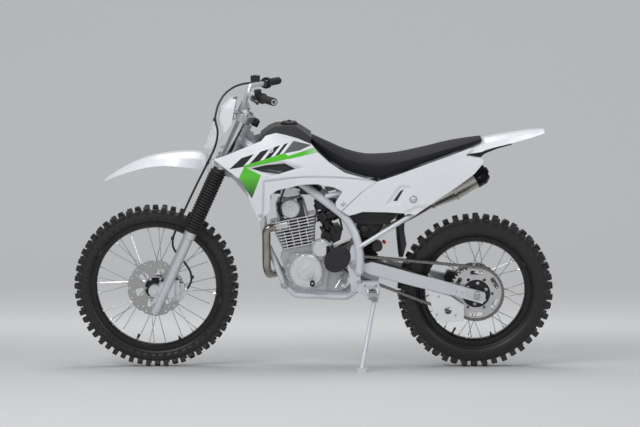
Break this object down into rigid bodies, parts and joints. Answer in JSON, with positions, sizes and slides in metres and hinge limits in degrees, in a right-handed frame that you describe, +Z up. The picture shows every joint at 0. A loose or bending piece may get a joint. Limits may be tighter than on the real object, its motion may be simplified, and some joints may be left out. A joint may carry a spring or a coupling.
{
  "type": "dirt bike",
  "caption": "Off-road motorcycle with knobbly spoked wheels, long fork, tall bars, slim bodywork and a finned engine, leaning on its side stand.",
  "frame": {"origin": "on the ground, under the middle of the parked bike's outer box", "axes": "+X towards the rear wheel, +Y to the rider's right, +Z up; the bike leans towards -Y on its side stand"},
  "size_m": [2.0394, 0.8194, 1.2568],
  "materials": {
    "tyre": "moulded knobbly rubber",
    "black_rim": "black anodised",
    "black_hub": "black paint",
    "steel": "brushed stainless",
    "zinc": "zinc plated",
    "aluminium": "bare, satin",
    "cast": "sand-cast, satin",
    "frame_paint": "silver paint",
    "white_plastic": "gloss moulding",
    "black_plastic": "grained moulding",
    "rubber": "moulded",
    "seat_cover": "vinyl cover",
    "black_metal": "black paint",
    "chain_steel": "oiled steel"
  },
  "bodies": {
    "chassis": {"main_frame": "frame_paint", "subframe": "frame_paint", "crankcase": "cast", "cylinder": "cast", "cylinder_head": "cast", "engine_covers": "cast", "carburettor": "cast", "drive_sprocket": "zinc", "chain": "chain_steel", "chain_guide": "white_plastic", "swingarm": "aluminium", "rear_axle": "zinc", "rear_caliper": "black_metal", "shock_absorber": "black_metal", "fuel_tank": "black_plastic", "shrouds": "white_plastic", "side_panels": "white_plastic", "seat": "seat_cover", "rear_fender": "white_plastic", "mud_flap": "rubber", "airbox": "black_plastic", "exhaust_header": "steel", "silencer": "steel", "footpegs": "zinc", "foot_controls": "aluminium"},
    "steering": {"fork_lowers": "aluminium", "fork_tubes": "steel", "gaiters": "rubber", "fork_clamps": "cast", "handlebar": "aluminium", "grips": "rubber", "hand_levers": "black_metal", "number_plate": "white_plastic", "front_fender": "white_plastic", "front_caliper": "black_metal", "brake_hose": "rubber", "front_axle": "zinc"},
    "front_wheel": {"front_tyre": "tyre", "front_rim": "black_rim", "front_hub": "black_hub", "front_disc": "steel"},
    "rear_wheel": {"rear_tyre": "tyre", "rear_rim": "black_rim", "rear_hub": "black_hub", "rear_sprocket": "zinc", "rear_disc": "steel"},
    "side_stand": {"side_stand": "frame_paint"}
  },
  "joints": [
    {"name": "steering", "type": "hinge", "parent": "chassis", "child": "steering", "pos_m": [-0.61395, 0.14978, 0.32147], "axis": [0.4147, -0.158, 0.8961], "range_deg": [-40, 40]},
    {"name": "front_wheel_spin", "type": "hinge", "parent": "steering", "child": "front_wheel", "pos_m": [-0.6711, 0.14525, 0.34711], "axis": [0, 0.9848, 0.1736], "continuous": true},
    {"name": "rear_wheel_spin", "type": "hinge", "parent": "chassis", "child": "rear_wheel", "pos_m": [0.6889, 0.14855, 0.3284], "axis": [0, 0.9848, 0.1736], "continuous": true},
    {"name": "side_stand_fold", "type": "hinge", "parent": "chassis", "child": "side_stand", "pos_m": [0.2559, 0.00257, 0.29251], "axis": [0.1068, -0.9815, 0.1588], "range_deg": [0, 105.7]}
  ]
}
